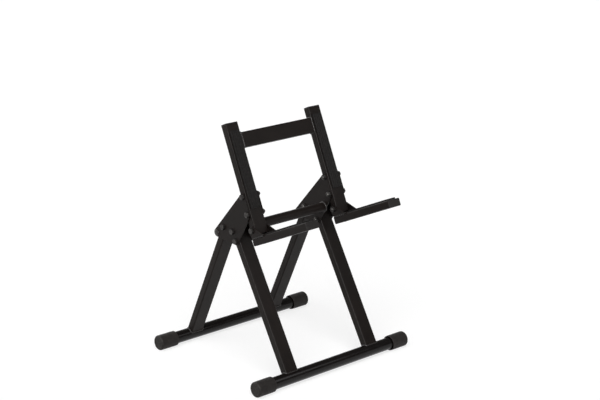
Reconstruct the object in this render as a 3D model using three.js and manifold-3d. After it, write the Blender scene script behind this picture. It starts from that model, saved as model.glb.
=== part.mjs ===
// A folding floor stand with a seat and a back that lean backwards, in millimetres.
// +Z is up and the front is -Y. Two A-shaped sides stand on a front and a rear foot bar.
// In each side a front leg and a back post are bolted between two hub plates, the rear leg
// turns on a pivot between the same plates, and a seat arm is hinged to the post's lower end.
import * as THREE from 'three';
import { mergeVertices } from 'three/addons/utils/BufferGeometryUtils.js';
import Module from 'manifold-3d';

const wasm = await Module();
wasm.setup();

// ---------------------------------------------------------------- driving dimensions

const fit = 0.3; // gap between pieces that touch

// Foot bars, round tube, and the rubber caps over their ends
const barLength = 508;
const barDiameter = 31.8;
const barWall = 1.8;
const barSpacing = 394; // between the bars' axes
const capDiameter = 40;
const capLength = 50;
const capEndWall = 4.2;
const capRimRadius = 4.5;
const capMouthDiameter = 37.4; // the cap stands clear of the bar at its open end
const capMouthDepth = 9;

// Rectangular tube of the legs, posts and arms
const tubeWidth = 40;
const tubeDepth = 20;
const tubeWall = 1.5;
const tubeCorner = 3;
const sideSpacing = 277; // between the centres of the left and the right side

// Where the rear legs turn, and how far the front leg stands before them at that height
const pivotSetback = 42; // behind the middle between the bars
const pivotHeight = 360;
const legSpread = 34;
const legEndClearance = 2.5; // between the front leg's plug and the rear leg

// Seat arm and back post, at right angles to each other and leaning back together
const seatLean = THREE.MathUtils.degToRad(25);
const seatRearAdvance = 69; // of the arms' rear ends before the middle between the bars
const seatRearHeight = 356.8; // of the arms' top faces at their rear ends
const armLength = 211;
const postTop = 290; // above the arm's top face, along the post
const crossbarDrop = 45; // of the upper crossbar's centre below the posts' top ends

// Hub plates
const plateThickness = 3;
const postBoltHeight = 60; // lower bolt above the arm's top face
const postBoltPitch = 46;
const legBoltPitch = 26;
const postLobe = 9; // plate's corner radius round the post's bolts
const legLobe = 10.5;
const pivotLobe = 14;
const crossTubeDiameter = 25.4;
const crossTubeWall = 1.8;

// Hinge bracket between arm and post
const bracketThickness = 3;
const bracketLength = 50;
const bracketLobe = 11;
const foldGap = 1; // between the folded arm's pad and the post's pad

// Rubber strips
const padWidth = 30;
const padThickness = 3.7;
const padMargin = 6; // from the arm's front end
const backPadStart = 72; // above the arm's top face
const backPadLength = 200;
const padRibs = 5;
const padGrooveWidth = 1.8;
const padGrooveDepth = 1.2;

// Plastic plugs
const plugHead = 3;
const plugBevel = 1.2;
const plugDepth = 10;
const plugWall = 2;
const plugBoltGap = 2.5; // along the tube, between a plug and the bolt or bush below it

// Bolts, nuts and pins
const boltDiameter = 8;
const boltHeadAcross = 13;
const boltHeadHeight = 5.3;
const boltTail = 2; // beyond the nut
const nutHeight = 6.8;
const nutCollar = 1.6; // height of the locking collar on the nut
const bushDiameter = 12;
const stopPinDiameter = 10;
const stopPinHead = 16;
const stopPinHeadHeight = 2.6;
const stopPinDrop = 30; // below the pivot, along the rear leg

// Flats round a circle
const barSides = 32;
const boltSides = 16;
const plateHoleSides = 12;
const hexagonRoundSides = 12;

// ---------------------------------------------------------------- finishes

const finish = (color, roughness, metalness) =>
  new THREE.MeshStandardMaterial({ color, roughness, metalness });
const finishes = {
  powderCoat: finish(0x1d1b1b, 0.5, 0.2),
  glossBlack: finish(0x151313, 0.3, 0.2),
  rubber: finish(0x252222, 0.85, 0),
  plastic: finish(0x222020, 0.6, 0),
  blackSteel: finish(0x2c2b2b, 0.4, 0.9),
  nylon: finish(0xd8d4c8, 0.5, 0),
};

// ---------------------------------------------------------------- solids

// A geometry as a closed solid, with its faces turned outwards.
function toSolid(geometry) {
  const bare = new THREE.BufferGeometry();
  bare.setAttribute('position', geometry.getAttribute('position'));
  bare.setIndex(geometry.getIndex());
  const merged = mergeVertices(bare, 1e-4);
  const points = merged.getAttribute('position').array;
  const index = merged.getIndex().array;
  const corner = (i) => new THREE.Vector3().fromArray(points, 3 * i);
  let volume = 0;
  const triangles = [];
  for (let i = 0; i < index.length; i += 3) {
    const [a, b, c] = index.slice(i, i + 3);
    if (a === b || b === c || c === a) continue;
    volume += corner(a).dot(corner(b).cross(corner(c)));
    triangles.push([a, b, c]);
  }
  const outward = volume > 0 ? triangles : triangles.map(([a, b, c]) => [a, c, b]);
  return new wasm.Manifold(new wasm.Mesh({
    numProp: 3,
    vertProperties: new Float32Array(points),
    triVerts: new Uint32Array(outward.flat()),
  }));
}

function toGeometry(solid) {
  const { vertProperties, triVerts } = solid.getMesh();
  const geometry = new THREE.BufferGeometry();
  geometry.setAttribute('position', new THREE.BufferAttribute(vertProperties, 3));
  geometry.setIndex(new THREE.BufferAttribute(triVerts, 1));
  geometry.computeVertexNormals();
  return geometry;
}

function piece(name, solid, material, x = 0, y = 0, z = 0) {
  const mesh = new THREE.Mesh(toGeometry(solid), material);
  mesh.name = name;
  mesh.position.set(x, y, z);
  return mesh;
}

// Turns a shape's x to Y and its y to Z, so that what is extruded from it runs along X.
const sideways = new THREE.Matrix4().makeBasis(
  new THREE.Vector3(0, 1, 0),
  new THREE.Vector3(0, 0, 1),
  new THREE.Vector3(1, 0, 0),
);

function roundedRectangle(width, height, radius, path = new THREE.Shape()) {
  const x = width / 2 - radius;
  const y = height / 2 - radius;
  path.absarc(x, y, radius, 0, Math.PI / 2);
  path.absarc(-x, y, radius, Math.PI / 2, Math.PI);
  path.absarc(-x, -y, radius, Math.PI, 1.5 * Math.PI);
  path.absarc(x, -y, radius, 1.5 * Math.PI, 2 * Math.PI);
  path.closePath();
  return path;
}

function circle(radius, x = 0, y = 0, path = new THREE.Path()) {
  path.absarc(x, y, radius, 0, 2 * Math.PI);
  return path;
}

const extrude = (shape, depth, curveSegments = 2) =>
  new THREE.ExtrudeGeometry(shape, { depth, curveSegments, bevelEnabled: false });

// Rectangular steel tube that runs up from z = 0.
function rectangularTube(length) {
  const section = roundedRectangle(tubeWidth, tubeDepth, tubeCorner);
  const bore = new THREE.Path();
  roundedRectangle(tubeWidth - 2 * tubeWall, tubeDepth - 2 * tubeWall, tubeCorner - tubeWall, bore);
  section.holes.push(bore);
  return toSolid(extrude(section, length));
}

// Solid of revolution about the X axis from [radius, x] points.
function turned(profile, sides) {
  const points = profile.map(([radius, x]) => new THREE.Vector2(radius, x));
  return toSolid(new THREE.LatheGeometry(points, sides).rotateZ(-Math.PI / 2));
}

// Round tube along X, centred.
function roundTube(diameter, wall, length, sides) {
  const outer = diameter / 2;
  const inner = outer - wall;
  const end = length / 2;
  return turned([[outer, -end], [outer, end], [inner, end], [inner, -end], [outer, -end]], sides);
}

// Cutter for a hole along X at a place in the side view.
function crossHole(diameter, y, z, sides = boltSides) {
  const radius = diameter / 2 + fit;
  const cutter = new THREE.CylinderGeometry(radius, radius, 2 * tubeWidth, sides).rotateZ(Math.PI / 2);
  return toSolid(cutter).translate(0, y, z);
}

// Outline of a belt stretched round discs in the side view: the hull of their rims.
function beltOutline(discs, steps = 24) {
  const rim = discs.flatMap(({ y, z, radius }) => Array.from({ length: steps }, (_, i) => {
    const turn = (2 * Math.PI * i) / steps;
    return new THREE.Vector2(y + radius * Math.cos(turn), z + radius * Math.sin(turn));
  }));
  rim.sort((a, b) => a.x - b.x || a.y - b.y);
  const bend = (a, b, c) => (b.x - a.x) * (c.y - a.y) - (b.y - a.y) * (c.x - a.x);
  const halfHull = (points) => {
    const hull = [];
    for (const point of points) {
      while (hull.length > 1 && bend(hull.at(-2), hull.at(-1), point) <= 1e-6) hull.pop();
      hull.push(point);
    }
    return hull.slice(0, -1);
  };
  return new THREE.Shape([...halfHull(rim), ...halfHull(rim.toReversed())]);
}

// Flat plate with the given outline and bolt holes in the side view, its near face at x = 0.
function sidePlate(outline, holes) {
  for (const { y, z, diameter } of holes) outline.holes.push(circle(diameter / 2 + fit, y, z));
  return toSolid(extrude(outline, plateThickness, plateHoleSides / 2).applyMatrix4(sideways));
}

// ---------------------------------------------------------------- places in the side view

// A frame has its origin in the side view and leans back: its z axis tips towards +Y.
const frameAt = (y, z, lean) => ({ y, z, lean });

function fromFrame({ y, z, lean }, along, up) {
  return {
    y: y + along * Math.cos(lean) + up * Math.sin(lean),
    z: z - along * Math.sin(lean) + up * Math.cos(lean),
  };
}

function intoFrame({ y, z, lean }, point) {
  const dy = point.y - y;
  const dz = point.z - z;
  return { y: dy * Math.cos(lean) - dz * Math.sin(lean), z: dy * Math.sin(lean) + dz * Math.cos(lean) };
}

function groupIn(frame, ...children) {
  const group = new THREE.Group();
  group.position.set(0, frame.y, frame.z);
  group.rotation.x = -frame.lean;
  group.add(...children);
  return group;
}

// Each leg's centre line starts on its bar's axis. The rear leg aims at its pivot.
const barHeight = capDiameter / 2;
const pivot = { y: pivotSetback, z: pivotHeight };
const legRise = pivotHeight - barHeight;
const frontLean = Math.atan2(barSpacing / 2 + pivotSetback - legSpread, legRise);
const rearLean = Math.atan2(barSpacing / 2 - pivotSetback, legRise);
const rearLegReach = legRise / Math.cos(rearLean); // from bar axis to pivot
const frontFrame = frameAt(-barSpacing / 2, barHeight, frontLean);
const rearFrame = frameAt(barSpacing / 2, barHeight, -rearLean);
const seatFrame = frameAt(-seatRearAdvance, seatRearHeight, seatLean);

// The front leg stops short of the rear leg's front face.
const rearFacePoint = intoFrame(frontFrame, fromFrame(rearFrame, -tubeDepth / 2, rearLegReach));
const facesMeet = rearFacePoint.z + (rearFacePoint.y - tubeDepth / 2) / Math.tan(frontLean + rearLean);
const frontLegTop = facesMeet - plugHead - legEndClearance;
const rearLegTop = rearLegReach + bushDiameter / 2 + plugBoltGap + plugDepth;

// Bolt, pivot and stop places
const postCentre = -tubeDepth / 2;
const legBoltEdge = plugDepth + plugBoltGap + boltDiameter / 2;
const postBolts = [0, postBoltPitch].map((step) => ({ along: postCentre, up: postBoltHeight + step }));
const legBolts = [0, legBoltPitch].map((step) => ({ along: 0, up: frontLegTop - legBoltEdge - step }));
const stopPin = fromFrame(rearFrame, (tubeDepth + stopPinDiameter) / 2 + fit, rearLegReach - stopPinDrop);
const hingeHeight = tubeDepth / 2 + 2 * (fit + padThickness) + foldGap;
const hubBolts = [
  ...postBolts.map(({ along, up }) => fromFrame(seatFrame, along, up)),
  ...legBolts.map(({ along, up }) => fromFrame(frontFrame, along, up)),
];
const crossTube = {
  y: (hubBolts[0].y + hubBolts[3].y) / 2,
  z: (hubBolts[0].z + hubBolts[3].z) / 2,
};

// Stack of tube, gaps and plates across one side, measured from the side's centre
const plateInner = tubeWidth / 2 + fit;
const plateOuter = plateInner + plateThickness;
const earOuter = plateInner + bracketThickness;

// ---------------------------------------------------------------- foot bars and caps

function footBar(name) {
  return piece(name, roundTube(barDiameter, barWall, barLength, barSides), finishes.glossBlack);
}

function footCap(name, side) {
  const outer = capDiameter / 2;
  const bore = barDiameter / 2 + fit;
  const mouth = capMouthDiameter / 2;
  const openEnd = barLength / 2 + fit + capEndWall - capLength;
  const outerEnd = openEnd + capLength;
  const rimSteps = 3;
  const rim = Array.from({ length: rimSteps + 1 }, (_, i) => {
    const turn = (Math.PI / 2) * (i / rimSteps);
    return [outer - capRimRadius * (1 - Math.cos(turn)), outerEnd - capRimRadius * (1 - Math.sin(turn))];
  });
  const profile = [
    [0, barLength / 2 + fit],
    [bore, barLength / 2 + fit],
    [bore, openEnd + capMouthDepth],
    [mouth, openEnd + capMouthDepth],
    [mouth, openEnd],
    [outer, openEnd],
    ...rim,
    [0, outerEnd],
  ];
  const solid = turned(profile.map(([radius, x]) => [radius, side * x]), barSides);
  return piece(name, solid, finishes.rubber);
}

// ---------------------------------------------------------------- tubes

// Leg that rises from its bar: the end is saddled over the bar, and holes cross it.
function legTube(length, holes) {
  const saddleRadius = barDiameter / 2 + fit;
  const saddle = toSolid(
    new THREE.CylinderGeometry(saddleRadius, saddleRadius, 2 * tubeWidth, barSides).rotateZ(Math.PI / 2),
  );
  let leg = rectangularTube(length).subtract(saddle);
  for (const { diameter, up } of holes) leg = leg.subtract(crossHole(diameter, 0, up));
  return leg;
}

// Back post: its lower end is rounded about the hinge, so that the arm can swing past it.
function postTube() {
  const bottom = fit + bracketThickness + fit;
  const swing = hingeHeight - bottom;
  let post = rectangularTube(postTop - bottom).translate(0, postCentre, bottom);
  const roundEnd = toSolid(
    new THREE.CylinderGeometry(swing, swing, 2 * tubeWidth, barSides).rotateZ(Math.PI / 2),
  ).translate(0, postCentre, hingeHeight);
  const corner = toSolid(new THREE.BoxGeometry(2 * tubeWidth, tubeDepth, 2 * swing));
  const frontCorner = corner.translate(0, postCentre - tubeDepth / 2, hingeHeight - swing).subtract(roundEnd);
  post = post.subtract(frontCorner).subtract(crossHole(boltDiameter, postCentre, hingeHeight));
  for (const { along, up } of postBolts) post = post.subtract(crossHole(boltDiameter, along, up));
  return post;
}

// Plug in a tube's end at z = 0: a bevelled head outside and a hollow spigot inside.
function endPlug() {
  const flat = plugHead - plugBevel;
  const head = new THREE.ExtrudeGeometry(
    roundedRectangle(tubeWidth - 2 * plugBevel, tubeDepth - 2 * plugBevel, tubeCorner - plugBevel),
    { depth: flat, curveSegments: 2, bevelSize: plugBevel, bevelThickness: plugBevel, bevelSegments: 1 },
  );
  const inset = 2 * (tubeWall + fit);
  const radius = tubeCorner - tubeWall;
  const spigot = roundedRectangle(tubeWidth - inset, tubeDepth - inset, radius);
  const core = new THREE.Path();
  roundedRectangle(tubeWidth - inset - 2 * plugWall, tubeDepth - inset - 2 * plugWall, radius / 2, core);
  spigot.holes.push(core);
  const domed = toSolid(head).translate(0, 0, fit);
  const below = toSolid(new THREE.BoxGeometry(2 * tubeWidth, 2 * tubeDepth, 2 * plugBevel));
  const square = domed.subtract(below.translate(0, 0, fit - plugBevel));
  return square.add(toSolid(extrude(spigot, plugDepth + 2 * fit, 1)).translate(0, 0, -plugDepth));
}

// ---------------------------------------------------------------- fasteners

function hexagon(across, height) {
  const corner = across / Math.sqrt(3);
  return toSolid(new THREE.CylinderGeometry(corner, corner, height, 6).rotateX(Math.PI / 2));
}

// Takes the corners off a hexagon's face that lies at z = face.
function chamferHexagon(solid, across, face, outward) {
  const slope = new THREE.CylinderGeometry(across / 2, across, across / 2, hexagonRoundSides);
  const cone = toSolid(slope.rotateX((outward * Math.PI) / 2));
  return solid.intersect(cone.translate(0, 0, face - outward * (across / 4 - 0.2)));
}

// Hexagon bolt that runs along +z through a grip; the head is below z = 0.
function hexBolt(grip) {
  const length = grip + nutHeight + boltTail;
  const head = hexagon(boltHeadAcross, boltHeadHeight).translate(0, 0, -boltHeadHeight / 2);
  const radius = boltDiameter / 2;
  const shank = new THREE.CylinderGeometry(radius, radius, length + 1, boltSides).rotateX(Math.PI / 2);
  const rounded = chamferHexagon(head, boltHeadAcross, -boltHeadHeight, -1);
  return rounded.add(toSolid(shank).translate(0, 0, length / 2 - 0.5));
}

// Self-locking nut at the end of a grip, without its bore.
function nutBlank(grip) {
  const body = nutHeight - nutCollar;
  const hex = hexagon(boltHeadAcross, body).translate(0, 0, grip + body / 2);
  const collarTop = boltHeadAcross * 0.42;
  const collarFoot = boltHeadAcross * 0.46;
  const collar = toSolid(
    new THREE.CylinderGeometry(collarTop, collarFoot, nutCollar + 1, hexagonRoundSides).rotateX(Math.PI / 2),
  ).translate(0, 0, grip + body + (nutCollar - 1) / 2);
  return hex.add(collar);
}

function lockNut(grip) {
  const bore = boltDiameter / 2 + fit;
  const hole = toSolid(new THREE.CylinderGeometry(bore, bore, 2 * nutHeight, boltSides).rotateX(Math.PI / 2));
  return nutBlank(grip).subtract(hole.translate(0, 0, grip + nutHeight / 2));
}

// Points a solid's +z axis inwards along X from one end of its grip, at a place in the side view.
function fromOutside(solid, side, grip, { y, z }) {
  return solid.rotate(0, -90 * side, 0).translate((side * grip) / 2, y, z);
}

// Stop pin: a rivet through both hub plates with a head on each.
function stopRivet() {
  const shank = stopPinDiameter / 2;
  const head = stopPinHead / 2;
  const face = plateOuter + fit;
  const end = face + stopPinHeadHeight;
  const half = [[shank, face], [head, face], [head * 0.75, end - 0.7], [0, end]];
  const mirrored = half.map(([radius, x]) => [radius, -x]).reverse();
  return turned([...mirrored, ...half], boltSides);
}

// ---------------------------------------------------------------- hinge bracket

// U-shaped bracket welded on the arm's top, its ears on both sides of the post.
function hingeBracket() {
  const base = toSolid(new THREE.BoxGeometry(2 * earOuter, bracketLength, bracketThickness))
    .translate(0, -bracketLength / 2, fit + bracketThickness / 2);
  const outline = beltOutline([
    { y: postCentre, z: hingeHeight, radius: bracketLobe },
    { y: -bracketLength + 1, z: fit + 1, radius: 1 },
    { y: -1, z: fit + 1, radius: 1 },
  ]);
  outline.holes.push(circle(boltDiameter / 2 + fit, postCentre, hingeHeight));
  const ear = toSolid(extrude(outline, bracketThickness, boltSides / 2).applyMatrix4(sideways));
  return base.add(ear.translate(plateInner, 0, 0)).add(ear.translate(-earOuter, 0, 0));
}

// ---------------------------------------------------------------- rubber strips

// Ribbed strip that runs up from z = 0, its plain back at y = 0 and its ribs towards -Y.
function ribbedStrip(length) {
  const pitch = (padWidth + padGrooveWidth) / padRibs;
  const land = pitch - padGrooveWidth;
  const shape = new THREE.Shape();
  shape.moveTo(padWidth / 2, 0);
  for (let rib = 0; rib < padRibs; rib += 1) {
    const right = padWidth / 2 - rib * pitch;
    shape.lineTo(right, -padThickness);
    shape.lineTo(right - land, -padThickness);
    if (rib === padRibs - 1) break;
    shape.lineTo(right - land, padGrooveDepth - padThickness);
    shape.lineTo(right - pitch, padGrooveDepth - padThickness);
  }
  shape.lineTo(-padWidth / 2, 0);
  shape.closePath();
  return toSolid(extrude(shape, length));
}

// ---------------------------------------------------------------- assembly

const sides = [['left', -1], ['right', 1]];
const stand = new THREE.Group();

// Foot bars with their caps
for (const [place, frame] of [['front', frontFrame], ['rear', rearFrame]]) {
  const bar = new THREE.Group();
  bar.position.set(0, frame.y, frame.z);
  bar.add(footBar(`${place}_foot_bar`));
  for (const [sideName, side] of sides) bar.add(footCap(`${place}_foot_cap_${sideName}`, side));
  stand.add(bar);
}

function plugAt(name, x, y, z, turn = 0) {
  const plug = piece(name, endPlug(), finishes.plastic, x, y, z);
  plug.rotation.x = turn;
  return plug;
}

for (const [sideName, side] of sides) {
  const x = (side * sideSpacing) / 2;

  // Front leg and rear leg
  const frontHoles = legBolts.map(({ up }) => ({ diameter: boltDiameter, up }));
  stand.add(groupIn(
    frontFrame,
    piece(`front_leg_${sideName}`, legTube(frontLegTop, frontHoles), finishes.powderCoat, x),
    plugAt(`front_leg_plug_${sideName}`, x, 0, frontLegTop),
  ));
  const rearHoles = [{ diameter: bushDiameter, up: rearLegReach }];
  const bush = roundTube(bushDiameter, (bushDiameter - boltDiameter) / 2 - fit, tubeWidth, boltSides);
  stand.add(groupIn(
    rearFrame,
    piece(`rear_leg_${sideName}`, legTube(rearLegTop, rearHoles), finishes.powderCoat, x),
    plugAt(`rear_leg_plug_${sideName}`, x, 0, rearLegTop),
    piece(`pivot_bush_${sideName}`, bush, finishes.nylon, x, 0, rearLegReach),
  ));

  // Back post with its plug and rubber strip
  const backPad = piece(`back_pad_${sideName}`, ribbedStrip(backPadLength), finishes.rubber, x);
  backPad.position.set(x, -tubeDepth - fit, backPadStart);
  stand.add(groupIn(
    seatFrame,
    piece(`back_post_${sideName}`, postTube(), finishes.powderCoat, x),
    plugAt(`back_post_plug_${sideName}`, x, postCentre, postTop),
    backPad,
  ));

  // Seat arm, lying forwards from the post's foot, with its plugs, strip and hinge bracket
  const lying = new THREE.Group();
  lying.position.set(x, 0, -tubeDepth / 2);
  lying.rotation.x = Math.PI / 2;
  const seatPadStart = bracketLength + padGrooveWidth;
  const seatPad = piece(
    `seat_pad_${sideName}`,
    ribbedStrip(armLength - padMargin - seatPadStart).rotate(0, 0, 180),
    finishes.rubber, 0, tubeDepth / 2 + fit, seatPadStart,
  );
  lying.add(
    piece(`seat_arm_${sideName}`, rectangularTube(armLength), finishes.powderCoat),
    plugAt(`seat_arm_front_plug_${sideName}`, 0, 0, armLength),
    plugAt(`seat_arm_rear_plug_${sideName}`, 0, 0, 0, Math.PI),
    seatPad,
  );
  stand.add(groupIn(
    seatFrame,
    lying,
    piece(`arm_bracket_${sideName}`, hingeBracket(), finishes.powderCoat, x),
  ));

  // Hub plates
  const lobes = [
    ...hubBolts.slice(0, 2).map((bolt) => ({ ...bolt, radius: postLobe })),
    ...hubBolts.slice(2).map((bolt) => ({ ...bolt, radius: legLobe })),
    { ...pivot, radius: pivotLobe },
    { ...stopPin, radius: legLobe },
  ];
  const holes = [
    ...hubBolts.map((bolt) => ({ ...bolt, diameter: boltDiameter })),
    { ...pivot, diameter: boltDiameter },
    { ...stopPin, diameter: stopPinDiameter },
  ];
  for (const [layer, way] of [['outer', side], ['inner', -side]]) {
    const near = way > 0 ? plateInner : -plateOuter;
    const plate = sidePlate(beltOutline(lobes), holes);
    stand.add(piece(`hub_plate_${sideName}_${layer}`, plate, finishes.powderCoat, x + near));
  }

  // Bolts, nuts and stop pin, all from the outside in. The frame bolts are tightened for good,
  // so each is one solid with its nut.
  const hubGrip = 2 * (plateOuter + fit);
  const hingeGrip = 2 * (earOuter + fit);
  hubBolts.forEach((place, i) => {
    const bolt = fromOutside(hexBolt(hubGrip).add(nutBlank(hubGrip)), side, hubGrip, place);
    stand.add(piece(`frame_bolt_${sideName}_${i + 1}`, bolt, finishes.blackSteel, x));
  });
  const hinge = fromFrame(seatFrame, postCentre, hingeHeight);
  for (const [use, place, grip] of [['pivot', pivot, hubGrip], ['arm_hinge', hinge, hingeGrip]]) {
    const bolt = fromOutside(hexBolt(grip), side, grip, place);
    const nut = fromOutside(lockNut(grip), side, grip, place);
    stand.add(piece(`${use}_bolt_${sideName}`, bolt, finishes.blackSteel, x));
    stand.add(piece(`${use}_nut_${sideName}`, nut, finishes.blackSteel, x));
  }
  stand.add(piece(`stop_pin_${sideName}`, stopRivet(), finishes.blackSteel, x, stopPin.y, stopPin.z));
}

// Cross members between the two sides
const innerPlateGap = sideSpacing - 2 * (plateOuter + fit);
stand.add(piece(
  'lower_cross_tube',
  roundTube(crossTubeDiameter, crossTubeWall, innerPlateGap, barSides),
  finishes.powderCoat, 0, crossTube.y, crossTube.z,
));
const crossbarLength = sideSpacing - tubeWidth - 2 * fit;
const crossbar = piece('upper_crossbar', rectangularTube(crossbarLength), finishes.powderCoat);
crossbar.rotation.set(0, Math.PI / 2, 0);
crossbar.position.set(-crossbarLength / 2, postCentre, postTop - crossbarDrop);
stand.add(groupIn(seatFrame, crossbar));

// The origin lies on the floor under the middle of the stand's outline: half-way between
// the front plugs' lowest front corner and the rear caps' back.
const frontReach = fromFrame(seatFrame, -armLength - fit - plugHead, -tubeDepth + plugBevel);
const rearReach = (barSpacing + capDiameter) / 2;
stand.position.y = -(frontReach.y + rearReach) / 2;

export default stand;
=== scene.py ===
# %% [markdown]
# # A folding stand of black steel tube
# The real stand is two A-shaped sides between two round foot bars. Each side has a front leg and
# a back post bolted between hub plates, a rear leg that turns between the same plates, and a seat
# arm hinged to the post. This lesson dresses the measured frame: every piece is modelled again
# with finer edges, at the place where the frame has it, and then gets its finish.

# %% Load the frame
from math import atan2, ceil, cos, pi, radians, sin, sqrt, tan

import bmesh
import bpy
from mathutils import Matrix, Vector


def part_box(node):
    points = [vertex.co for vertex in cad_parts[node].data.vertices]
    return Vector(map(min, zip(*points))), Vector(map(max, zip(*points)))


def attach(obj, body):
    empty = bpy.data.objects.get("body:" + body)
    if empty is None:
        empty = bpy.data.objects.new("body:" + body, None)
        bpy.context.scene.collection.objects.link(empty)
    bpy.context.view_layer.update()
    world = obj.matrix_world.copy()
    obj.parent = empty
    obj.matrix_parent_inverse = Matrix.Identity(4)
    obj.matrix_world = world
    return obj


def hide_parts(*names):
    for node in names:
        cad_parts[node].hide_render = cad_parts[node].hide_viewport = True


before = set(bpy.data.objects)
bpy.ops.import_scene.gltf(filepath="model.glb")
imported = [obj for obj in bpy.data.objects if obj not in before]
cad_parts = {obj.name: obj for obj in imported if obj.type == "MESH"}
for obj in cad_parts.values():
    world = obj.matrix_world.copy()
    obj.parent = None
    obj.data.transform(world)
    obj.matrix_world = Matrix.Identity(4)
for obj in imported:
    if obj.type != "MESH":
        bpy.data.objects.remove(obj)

scene = bpy.context.scene
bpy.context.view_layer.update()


def placed(name, data):
    """New object in the scene."""
    thing = bpy.data.objects.new(name, data)
    scene.collection.objects.link(thing)
    return thing


# %% [markdown]
# ## The camera
# A long lens from the front left, a little above the stand, gives the calm product view. The
# camera is placed by its axes and its position, so nothing else has to be aimed.

# %% Camera
LENS, SENSOR, CLIP_END = 92.629, 36, 60
CAMERA_RIGHT = Vector((0.7447, -0.6673, 0.0101))
CAMERA_BACK = Vector((-0.6397, -0.7094, 0.2957))
CAMERA_PLACE = Vector((-2.5079, -2.8489, 1.5851))

# The camera's place counts from the middle between the two foot bars.
front_bar, rear_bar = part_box("front_foot_bar"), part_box("rear_foot_bar")
bars_middle = Vector((0, (front_bar[0].y + rear_bar[1].y) / 2, 0))

camera = placed("camera", bpy.data.cameras.new("camera"))
camera.data.lens, camera.data.sensor_width = LENS, SENSOR
camera.data.clip_end = CLIP_END
back = CAMERA_BACK.normalized()
up = back.cross(CAMERA_RIGHT).normalized()
camera.matrix_world = Matrix.Translation(CAMERA_PLACE + bars_middle) @ Matrix(
    (up.cross(back), up, back)).transposed().to_4x4()
scene.camera = camera
print("camera at", [round(c, 3) for c in camera.matrix_world.translation])

# %% [markdown]
# ## Sizes in millimetres
# Steel tube is sold in round millimetres, so the sizes are kept in millimetres and every finished
# shape is scaled to Blender's metres once, at the end. Places along a leg are easiest in the
# leg's own leaning frame, so each leaning part gets a matrix.

# %% Driving sizes
MM = 0.001
FIT = 0.3  # gap between pieces that touch
# The caps reach 5 mm further along the bars than the frame's, as they do on the real stand.
BAR_LENGTH, BAR_DIAMETER, BAR_WALL, BAR_SPACING = 508, 31.8, 1.8, 394
CAP_DIAMETER, CAP_LENGTH, CAP_END_WALL, CAP_RIM = 40, 55, 4.2, 4.5
CAP_MOUTH_DIAMETER, CAP_MOUTH_DEPTH = 37.4, 9
TUBE_WIDTH, TUBE_DEPTH, TUBE_WALL, TUBE_CORNER = 40, 20, 1.5, 3
SIDE_SPACING = 277
PIVOT_SETBACK, PIVOT_HEIGHT, LEG_SPREAD, LEG_END_CLEARANCE = 42, 360, 34, 2.5
SEAT_LEAN, SEAT_REAR_ADVANCE, SEAT_REAR_HEIGHT = radians(25), 69, 356.8
ARM_LENGTH, POST_TOP, CROSSBAR_DROP = 211, 290, 45
PLATE, POST_BOLT_HEIGHT, POST_BOLT_PITCH, LEG_BOLT_PITCH = 3, 60, 46, 26
POST_LOBE, LEG_LOBE, PIVOT_LOBE = 9, 10.5, 14
CROSS_TUBE_DIAMETER, CROSS_TUBE_WALL = 25.4, 1.8
BRACKET, BRACKET_LENGTH, BRACKET_LOBE, FOLD_GAP = 3, 50, 11, 1
PAD_WIDTH, PAD_THICKNESS, PAD_MARGIN = 30, 3.7, 6
BACK_PAD_START, BACK_PAD_LENGTH = 72, 200
PAD_RIBS, GROOVE_WIDTH, GROOVE_DEPTH = 5, 1.8, 1.2
PLUG_HEAD, PLUG_BEVEL, PLUG_DEPTH, PLUG_WALL, PLUG_BOLT_GAP = 3, 1.2, 10, 2, 2.5
BOLT_DIAMETER, HEAD_ACROSS, HEAD_HEIGHT, BOLT_TAIL = 8, 13, 5.3, 2
NUT_HEIGHT, NUT_COLLAR, BUSH_DIAMETER = 6.8, 1.6, 12
PIN_DIAMETER, PIN_HEAD, PIN_HEAD_HEIGHT, PIN_DROP = 10, 16, 2.6, 30

STAND = Matrix.Translation(bars_middle) @ Matrix.Scale(MM, 4)
SIDEWAYS = Matrix.Rotation(pi / 2, 4, "Y")  # turns the z axis to the x axis
SIDE_X = SIDE_SPACING / 2
PLATE_INNER = TUBE_WIDTH / 2 + FIT  # from the middle of a side
PLATE_OUTER = PLATE_INNER + PLATE


def leaning(y, z, lean):
    """Frame in the side view whose z axis tips backwards."""
    return Matrix.Translation((0, y, z)) @ Matrix.Rotation(-lean, 4, "X")


# %% Places in the side view
bar_height = CAP_DIAMETER / 2
leg_rise = PIVOT_HEIGHT - bar_height
front_lean = atan2(BAR_SPACING / 2 + PIVOT_SETBACK - LEG_SPREAD, leg_rise)
rear_lean = atan2(BAR_SPACING / 2 - PIVOT_SETBACK, leg_rise)
rear_reach = leg_rise / cos(rear_lean)
front_leg_frame = leaning(-BAR_SPACING / 2, bar_height, front_lean)
rear_leg_frame = leaning(BAR_SPACING / 2, bar_height, -rear_lean)
seat_frame = leaning(-SEAT_REAR_ADVANCE, SEAT_REAR_HEIGHT, SEAT_LEAN)

# The front leg stops short of the rear leg's front face.
rear_face = front_leg_frame.inverted() @ (rear_leg_frame @ Vector((0, -TUBE_DEPTH / 2, rear_reach)))
faces_meet = rear_face.z + (rear_face.y - TUBE_DEPTH / 2) / tan(front_lean + rear_lean)
front_top = faces_meet - PLUG_HEAD - LEG_END_CLEARANCE
rear_top = rear_reach + BUSH_DIAMETER / 2 + PLUG_BOLT_GAP + PLUG_DEPTH

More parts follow.
